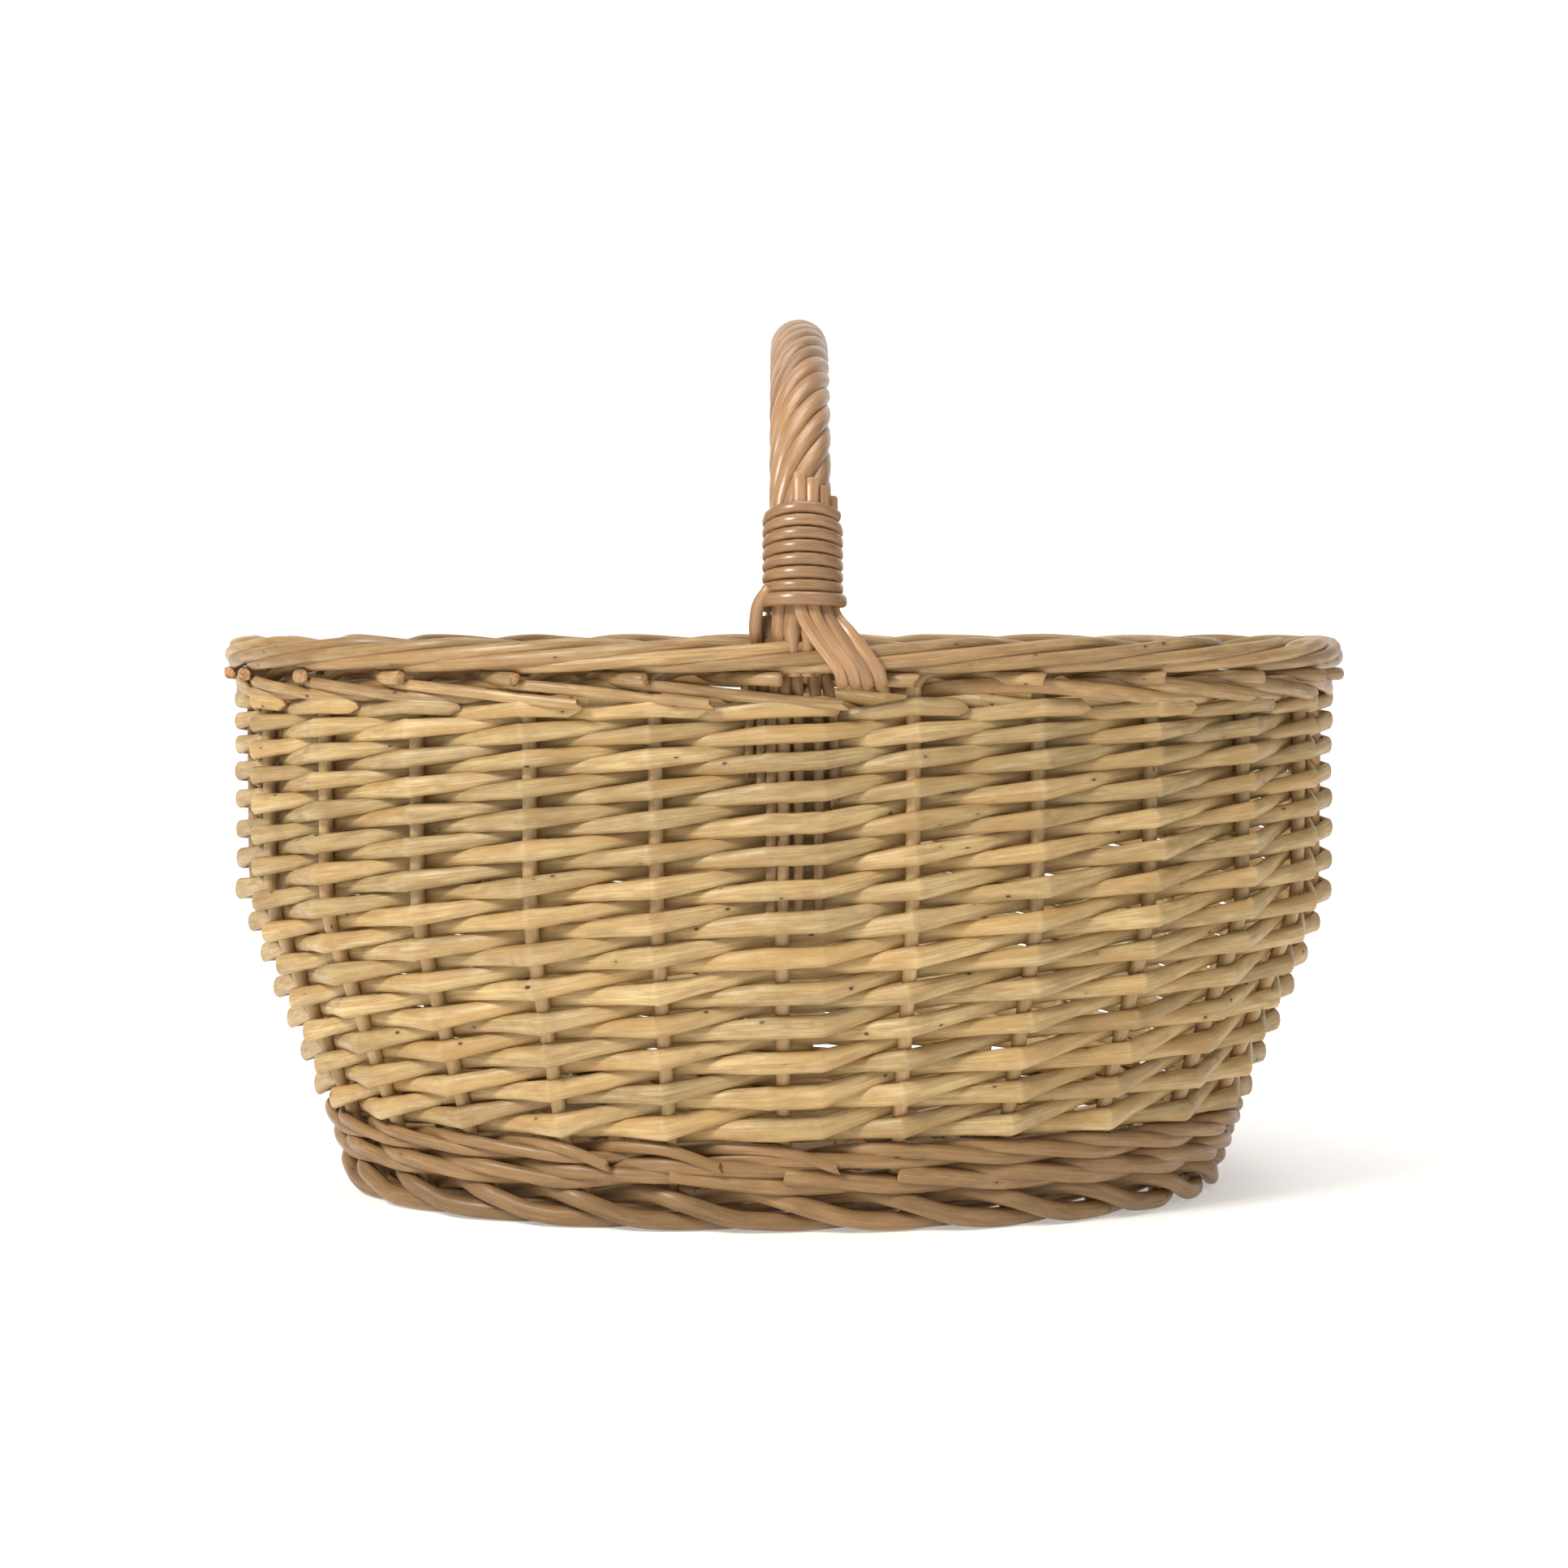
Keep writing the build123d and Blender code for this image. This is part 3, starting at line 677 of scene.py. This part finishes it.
def waleCorners(rod, height, rounds, extra):
    reachOut, gap = waleLook["reach"], waleLook["strandGap"]
    strokes = [(0.0, -reachOut, 0.0), (0.5, 0.0, 0.5), (1.0, reachOut, 0.5)]
    strokes += [(1.5, reachOut, 0.0), (2.0, reachOut, -0.5), (2.5, 0.0, -0.5)]
    corners = []
    first = rod + 1
    last = first + rounds * stakes - 3 - waleLook["climb"] * (rounds - 1) + extra
    for stroke in range(-1 if rounds > 1 else 0, math.ceil((last - first) / 3)):
        for along, out, up in strokes:
            place = first + 3 * stroke + along
            if place > last or (stroke < 0 and along < 1):
                continue
            finished = (place - 1) // stakes
            ahead = (place - 1) % stakes - (stakes - waleLook["climb"])
            level = max(0, finished + (max(0, ahead) / waleLook["climb"] if finished < rounds - 1 else 0))
            lift = height + level * 2 * gap + up * gap + seeds.uniform(-0.3, 0.3)
            corners.append(wallPoint(place, out, lift))
    tail = wallPoint(last + 0.45, reachOut + 2.2, height + (rounds - 1) * 2 * gap - 0.9 * gap)
    return corners + [tail]


for band, material in (("bottom", "footWillow"), ("top", "borderWillow")):
    look = waleLook[band]
    low, high = boxMm(f"{band}_wale_rod_1")
    bandHeight = low.z + waleLook["cadRadius"] + waleLook["strandGap"] / 2 + look["raise"]
    for number in range(3):
        corners = waleCorners(number, bandHeight, look["rounds"], look["extra"])
        waleRod = plainRod(
            f"{band}Wale_{number + 1}", corners, waleLook["bend"], look["butt"], look["tip"], willow[material],
            cut=(0, waleLook["cutSlant"]),
        )
        seat(waleRod, "wale_willow", f"{band}_wale_rod_{number + 1}")
print("wales laid")


# ---- foot border ----
footLook = {
    "size": (7.6, 6.3),
    "beside": 5.0,  # each rod stands this far to the right of its stake
    "kinkHeight": 5.2,
    "bend": 6.0,
    "loose": 0.3,
    "tipShare": 0.85,
}
footRoute = [(1.00, -5.8, 10.2), (1.34, -5.0, 13.0), (1.62, 0.4, 15.4), (1.95, 6.8, 12.4), (2.42, 6.8, 5.6),
             (2.68, 5.8, 4.3), (3.00, 3.9, 4.0), (3.30, 0.2, 4.1), (3.60, -4.0, 4.3)]
footTop = boxMm("foot_border_rods")[1].z
footRods = []
for number in range(stakes):
    nearSpacing = (wallPoint(number + 0.5, 0, footTop) - wallPoint(number - 0.5, 0, footTop)).length / mm
    start = number + footLook["beside"] / nearSpacing
    corners = [wallPoint(start, 0, footTop), wallPoint(start, 0, footLook["kinkHeight"])]
    loose = footLook["loose"]
    for along, out, height in footRoute:
        corners.append(wallPoint(
            start + along, out + seeds.uniform(-loose, loose), height + seeds.uniform(-loose, loose),
        ))
    tip = tuple(length * footLook["tipShare"] for length in footLook["size"])
    footRods.append(plainRod(
        f"footRod_{number + 1}", corners, footLook["bend"], tip, footLook["size"], willow["footWillow"],
    ))
footBorder = joinPieces("footBorder", footRods)
seat(footBorder, "foot_willow", "foot_border_rods")
print("foot border laid")


# ---- base ----
baseLook = {
    "loops": 15,
    "rod": (4.6, 3.4),
    "stickBend": 20.0,
    "crossStick": ((7.4, 6.6), (6.8, 6.2)),
    "longStick": ((7.2, 4.0), (6.8, 3.6)),
    "windowHalf": (106.0, 27.0),  # open crossing of the sticks in the middle
    "pointsApart": 22.0,
    "edgeInset": 2,
    "lift": 4.0,  # over and under the sticks
}
stickLow, stickHigh = boxMm("base_cross_stick_5")
stickHeight = (stickLow.z + stickHigh.z) / 2
crossPlaces, longPlaces = [], []
for number in range(9):
    node = f"base_cross_stick_{number + 1}"
    low, high = boxMm(node)
    place = (low.x + high.x) / 2
    crossPlaces.append(place)
    half = (high.y - low.y) / 2
    corners = [Vector((place, y, stickHeight)) * mm for y in (-half, -half / 3, half / 3, half)]
    stick = plainRod(
        f"crossStick_{number + 1}", corners, baseLook["stickBend"], *baseLook["crossStick"],
        willow["footWillow"], facingUp,
    )
    seat(stick, "foot_willow", node)
for number in range(4):
    node = f"base_long_stick_{number + 1}"
    low, high = boxMm(node)
    place = (low.y + high.y) / 2
    longPlaces.append(place)
    corners = [Vector((x, place, stickHeight)) * mm for x in (low.x, low.x / 3, high.x / 3, high.x)]
    stick = plainRod(
        f"longStick_{number + 1}", corners, baseLook["stickBend"], *baseLook["longStick"],
        willow["footWillow"], facingUp,
    )
    seat(stick, "foot_willow", node)


def halfChord(place, halfAlong, halfAcross):
    share = min(1.0, abs(place) / halfAlong)
    return halfAcross * (1 - share ** wallShape["squareness"]) ** (1 / wallShape["squareness"])


def roundTheOval(spot, following, halfX, halfY):
    # points on the oval between two crossings, so that a loop keeps its round ends
    power = wallShape["squareness"]
    start = math.atan2(spot[1] / halfY, spot[0] / halfX)
    sweep = (math.atan2(following[1] / halfY, following[0] / halfX) - start) % (2 * math.pi)
    count = max(1, round(math.dist(spot, following) / baseLook["pointsApart"]))
    points = []
    for k in range(count):
        angle = start + sweep * (k + 0.5) / count
        across, up = math.cos(angle), math.sin(angle)
        reachOut = (abs(across) ** power + abs(up) ** power) ** (-1 / power)
        points.append(Vector((across * reachOut * halfX, up * reachOut * halfY, stickHeight)) * mm)
    return points


def baseLoop(name, loop):
    share = (loop + 0.5) / baseLook["loops"]
    edge = boxMm("base_weave")[1]
    innerX, innerY = baseLook["windowHalf"]
    halfX = innerX + (edge.x - baseLook["edgeInset"] - innerX) * share
    halfY = innerY + (edge.y - baseLook["edgeInset"] - innerY) * share
    crossings = []
    for place in crossPlaces:
        y = halfChord(place, halfX, halfY)
        crossings += [(place, y), (place, -y)]
    for place in longPlaces:
        x = halfChord(place, halfY, halfX)
        crossings += [(x, place), (-x, place)]
    crossings.sort(key=lambda spot: math.atan2(spot[1] / halfY, spot[0] / halfX))
    corners = []
    for i, spot in enumerate(crossings):
        following = crossings[(i + 1) % len(crossings)]
        side = 1 if (i + loop) % 2 else -1
        corners.append(Vector((spot[0], spot[1], stickHeight + side * baseLook["lift"])) * mm)
        corners += roundTheOval(spot, following, halfX, halfY)
    corners.append(corners[0].copy())
    rod = baseLook["rod"]
    return plainRod(name, corners, 5.0, rod, rod, willow["footWillow"], facingUp, 8, step=12.0)


baseLoops = [baseLoop(f"baseLoop_{loop + 1}", loop) for loop in range(baseLook["loops"])]
baseWeave = joinPieces("baseWeave", baseLoops)
seat(baseWeave, "foot_willow", "base_weave")
print("base woven")


# ---- handle ----
handleLook = {
    "squareness": 2.2,
    "ropeOutside": 11.5,  # of the wrapped bow, from its middle
    "bowBottom": 2.0,  # above the rim
    "bowDiameter": 10.4,
    "ropeRods": 8,
    "ropeRadius": 8.4,
    "ropeSize": (7.3, 6.0),
    "twistTurns": 3.5,
    "straightEnd": 0.13,  # share of the bow near each foot where the rods straighten
}
bowLow, bowHigh = boxMm("handle_bow")
handleX = (bowLow.x + bowHigh.x) / 2
handleTop = cadBox[1].z / mm
bowBottom = rimTop + handleLook["bowBottom"]
bowRise = handleTop - handleLook["ropeOutside"] - bowBottom
bowReach = halfWidth
bowCurve = []
for i in range(ovalSteps + 1):
    turn = math.pi * i / ovalSteps
    power = 2 / handleLook["squareness"]
    across = -bowReach * signedPower(math.cos(turn), power)
    bowCurve.append(Vector((0, across, bowBottom + bowRise * abs(math.sin(turn)) ** power)))
bowLengths = [0.0]
for before, after in zip(bowCurve, bowCurve[1:]):
    bowLengths.append(bowLengths[-1] + (after - before).length)
bowLength = bowLengths[-1]


def bowPoint(distance, right=0.0, out=0.0):
    i = min(max(bisect_right(bowLengths, distance) - 1, 0), ovalSteps - 1)
    run = bowCurve[i + 1] - bowCurve[i]
    centre = bowCurve[i] + run * ((distance - bowLengths[i]) / run.length)
    outward = Vector((0, -run.z, run.y)).normalized()
    return (centre + outward * out + Vector((handleX + right, 0, 0))) * mm


def footPoint(side, distance, right, out):
    return bowPoint(distance if side > 0 else bowLength - distance, side * right, out)


def besideRim(side, right, out, height):
    return Vector((handleX + side * right, -side * (bowReach + out), height)) * mm


def radial(line, middles):
    return [(point - middle).normalized() for point, middle in zip(line, middles)]


# twist of the rods along the bow, slower near the feet
twistSteps = 150
twist = [0.0]
for i in range(twistSteps):
    share = (i + 0.5) / twistSteps
    nearEnd = min(share, 1 - share) / handleLook["straightEnd"]
    twist.append(twist[-1] + 0.25 + 0.75 * min(1.0, max(0.0, nearEnd - 0.45) / 0.55))
twist = [value / twist[-1] for value in twist]

for number in range(handleLook["ropeRods"]):
    line, middles, sizes = [], [], []
    for i in range(-6, twistSteps + 7):
        k = min(max(i, 0), twistSteps)
        turned = handleLook["twistTurns"] * (twist[k] - 0.5)
        angle = 2 * math.pi * ((number + 0.5) / handleLook["ropeRods"] + turned)
        below = max(-i, i - twistSteps, 0)
        radius = handleLook["ropeRadius"] - 0.35 * below
        drop = Vector((0, 0, -2.6 * below * mm))
        distance = bowLength * k / twistSteps
        line.append(bowPoint(distance, radius * math.sin(angle), radius * math.cos(angle)) + drop)
        middles.append(bowPoint(distance) + drop)
        swell = 1 + 0.05 * math.sin(0.21 * i + 2.1 * number) + 0.03 * math.sin(0.53 * i + number)
        thin = 0.8 if below else 1.0
        sizes.append((handleLook["ropeSize"][0] * swell * thin, handleLook["ropeSize"][1] * thin))
    ropeRod = rollRod(f"ropeRod_{number + 1}", line, radial(line, middles), sizes, willow["handleWillow"])
    seat(ropeRod, "handle_willow", f"handle_rope_rod_{number + 1}")
print("rope wrapped")

# ---- collars, tails and the rods let into the wall ----
collarLook = {
    "turns": 7.6,
    "steps": 18,  # rings a turn
    "bottom": 9.5,
    "pitch": 4.25,
    "radius": 13.2,
    "size": (4.5, 3.2),
    "lean": 1.5,
    "leanTowards": 32.0,  # degrees from straight outward, to the right
    "lowestWidening": 2.4,
}
tailLook = {
    "count": 4,
    "size": (5.0, 2.9),
    "radius": 12.6,
    "spacing": 21.0,
    "middle": 30.0,
    "stub": 6.0,
    "step": 1.9,
    "fan": 4.6,
    "slant": 9.5,
    "end": 211.0,
    "clear": 13.4,
}
# rods pushed down beside the middle stake: (right of the stake, out, lowest point)
linerRoute = [
    (-12.5, -0.5, 178.0), (-8.3, 0.8, 168.0), (-4.6, 1.6, 122.0),
    (5.4, 0.8, 126.0), (12.6, 0.4, 123.0), (18.2, -0.6, 166.0),
]
linerButt, linerTip, linerCut = (4.6, 4.4), (4.0, 3.8), 4.5
# (share of the way sideways, height from the rim's top)
linerSpread = [(0.55, 8), (0.8, -10), (1.0, -30)]

for side, name in ((1, "front"), (-1, "back")):
    lean = math.radians(collarLook["leanTowards"])
    leanRight, leanOut = collarLook["lean"] * math.sin(lean), collarLook["lean"] * math.cos(lean)
    line, middles, sizes = [], [], []
    steps = collarLook["steps"]
    total = int(collarLook["turns"] * steps)
    for i in range(total + 1):
        angle = 2 * math.pi * i / steps + 0.9
        wider = collarLook["lowestWidening"] * max(0.0, 1 - i / steps / 1.3)
        radius = collarLook["radius"] + wider
        distance = collarLook["bottom"] + collarLook["pitch"] * i / steps + 0.8 * math.sin(angle)
        right = leanRight - radius * math.sin(angle)
        out = leanOut - radius * math.cos(angle)
        line.append(footPoint(side, distance, right, out))
        middles.append(footPoint(side, distance, leanRight, leanOut))
        thick = 1 + 0.14 * max(0.0, 1 - i / steps)
        sizes.append((collarLook["size"][0] * thick, collarLook["size"][1] * thick))
    collar = rollRod(f"collar_{name}", line, radial(line, middles), sizes, willow["handleWillow"])
    hitch = plainRod(
        f"hitch_{name}",
        [
            footPoint(side, 15, -11, 9), footPoint(side, 10, -15.5, 7),
            besideRim(side, -16.5, 5, rimTop + 5), besideRim(side, -16.0, 1, rimTop - 4),
        ],
        7.0, (4.6, 3.8), (4.4, 3.8), willow["handleWillow"],
    )
    collar = joinPieces(f"collar_{name}", [collar, hitch])
    seat(collar, "handle_willow", f"handle_collar_{name}")

    tails = []
    collarTop = collarLook["bottom"] + collarLook["turns"] * collarLook["pitch"]
    for number in range(tailLook["count"]):
        fromMiddle = number - (tailLook["count"] - 1) / 2
        angle = math.radians(tailLook["middle"] + tailLook["spacing"] * fromMiddle)
        right = tailLook["radius"] * math.sin(angle)
        out = tailLook["radius"] * math.cos(angle)
        top = collarTop + tailLook["stub"] + tailLook["step"] * (tailLook["count"] - 1 - number)
        bottom = collarLook["bottom"] - 3
        fanned = tailLook["fan"] * (number + 1)
        slanted, clear, end = fanned + tailLook["slant"], tailLook["clear"], tailLook["end"]
        corners = [
            footPoint(side, top, right, out + 0.8),
            footPoint(side, (top + bottom) / 2, right, out),
            footPoint(side, bottom, right, out + 0.6),
            besideRim(side, fanned + 0.5, clear, rimTop + 0.5),
            besideRim(side, slanted, clear + 0.6, end + 3.5),
            besideRim(side, slanted + 1.2, clear - 2.6, end - 1.4),
            besideRim(side, slanted + 1.4, 3.0, end - 2.2),
        ]
        tails.append(plainRod(
            f"tail_{number + 1}_{name}", corners, 7.0, tailLook["size"], tailLook["size"],
            willow["handleWillow"], step=4.0,
        ))
    tailRods = joinPieces(f"tails_{name}", tails)
    seat(tailRods, "handle_willow", f"handle_tails_{name}")

    liners = []
    for right, out, lowest in linerRoute:
        # counted from the middle stake, which stands beside the handle's own middle
        corners = [
            besideRim(side, right * share - handleX * side, out, rimTop + up) for share, up in linerSpread
        ]
        corners.append(besideRim(side, right - handleX * side, out, lowest))
        liners.append(plainRod(
            f"liner_{name}", corners, 20.0, linerButt, linerTip, willow["footWillow"], cut=(0, linerCut),
        ))
    linerRods = joinPieces(f"liners_{name}", liners)
    seat(linerRods, "handle_willow", "handle_bow")
print("handle tied in")

# the bow itself shows only in the gaps of the rope
bowLine = [bowPoint(bowLength * i / 60) for i in range(61)]
bowFacing = [Vector((1, 0, 0))] * 61
bowDiameter = handleLook["bowDiameter"]
bow = rollRod("bow", bowLine, bowFacing, [(bowDiameter, bowDiameter)] * 61, willow["handleWillow"])
seat(bow, "handle_willow", "handle_bow")


# ---- floor, light and camera ----
stageLook = {
    "floor": (244, 243, 240),
    "paler": (247, 246, 244),
    "floorHalf": 3.0,
    "backHeight": 2.6,
    "lens": 71.7,
    "cameraSpot": (0.0, -1.300, 0.232),
    "cameraDown": 2.98,
}
lightLook = {
    "worldStrength": 0.30,
    "paperGlow": 0.35,
    "softbox": {"spot": (-1.5, -1.7, 1.7), "size": 0.7, "watts": 64.0, "colour": (1.0, 0.98, 0.95)},
    "fill": {"spot": (1.8, -1.8, 1.1), "size": 1.6, "watts": 9.0, "colour": (0.97, 0.98, 1.0)},
    "top": {"spot": (0.1, 0.0, 2.4), "size": 1.6, "watts": 26.0, "colour": (1.0, 1.0, 1.0)},
}
bpy.ops.object.select_all(action="DESELECT")
bpy.ops.mesh.primitive_plane_add(size=2 * stageLook["floorHalf"], location=(0, 0, 0))
floor = bpy.context.object
floor.name = "paleFloor"
bpy.ops.object.mode_set(mode="EDIT")
bpy.ops.mesh.select_mode(type="EDGE")
bpy.ops.mesh.select_all(action="DESELECT")
bpy.ops.object.mode_set(mode="OBJECT")
for edge in floor.data.edges:
    edge.select = all(floor.data.vertices[i].co.y > 0 for i in edge.vertices)
bpy.ops.object.mode_set(mode="EDIT")
bpy.ops.mesh.extrude_region_move(TRANSFORM_OT_translate={"value": (0, 0, stageLook["backHeight"])})
bpy.ops.object.mode_set(mode="OBJECT")
for edge in floor.data.edges:
    ends = [floor.data.vertices[i].co for i in edge.vertices]
    edge.select = all(end.y > 0 and end.z < 0.01 for end in ends)
bpy.ops.object.mode_set(mode="EDIT")
bpy.ops.mesh.bevel(offset=1.2, segments=16, profile=0.5, affect="EDGES")
bpy.ops.object.mode_set(mode="OBJECT")
bpy.ops.object.shade_smooth_by_angle(angle=math.radians(40))
paper = bpy.data.materials.new("palePaper")
paper.use_nodes = True
paperTree = paper.node_tree
paperNoise = addNode(paperTree, "ShaderNodeTexNoise", (-600, 0))
paperNoise.inputs["Scale"].default_value = 3.0
paperPlace = addNode(paperTree, "ShaderNodeTexCoord", (-800, 0))
paperTree.links.new(paperPlace.outputs["Object"], paperNoise.inputs["Vector"])
paperColour = mixNode(
    paperTree, paperNoise.outputs[0], colourOf(*stageLook["floor"]), colourOf(*stageLook["paler"]), (-300, 0),
)
paperShader = paperTree.nodes["Principled BSDF"]
paperTree.links.new(paperColour, paperShader.inputs["Base Color"])
paperShader.inputs["Roughness"].default_value = 0.9
paperShader.inputs["Emission Color"].default_value = (1.0, 1.0, 1.0, 1.0)
paperShader.inputs["Emission Strength"].default_value = lightLook["paperGlow"]
floor.data.materials.append(paper)

world = bpy.data.worlds.new("studio")
world.use_nodes = True
world.node_tree.nodes["Background"].inputs[0].default_value = (1.0, 1.0, 1.0, 1.0)
world.node_tree.nodes["Background"].inputs[1].default_value = lightLook["worldStrength"]
bpy.context.scene.world = world
for name in ("softbox", "fill", "top"):
    look = lightLook[name]
    bpy.ops.object.light_add(type="AREA", location=look["spot"])
    lamp = bpy.context.object
    lamp.name = name
    lamp.data.size = look["size"]
    lamp.data.energy = look["watts"]
    lamp.data.color = look["colour"]
    aim = Vector((0, 0, 0.15)) - Vector(look["spot"])
    lamp.rotation_euler = aim.to_track_quat("-Z", "Y").to_euler()

tilt = math.radians(90 - stageLook["cameraDown"])
bpy.ops.object.camera_add(location=stageLook["cameraSpot"], rotation=(tilt, 0, 0))
camera = bpy.context.object
camera.data.lens = stageLook["lens"]
camera.data.sensor_width = 36.0
bpy.context.scene.camera = camera
bpy.context.scene.view_settings.view_transform = "Standard"
print("stage set")
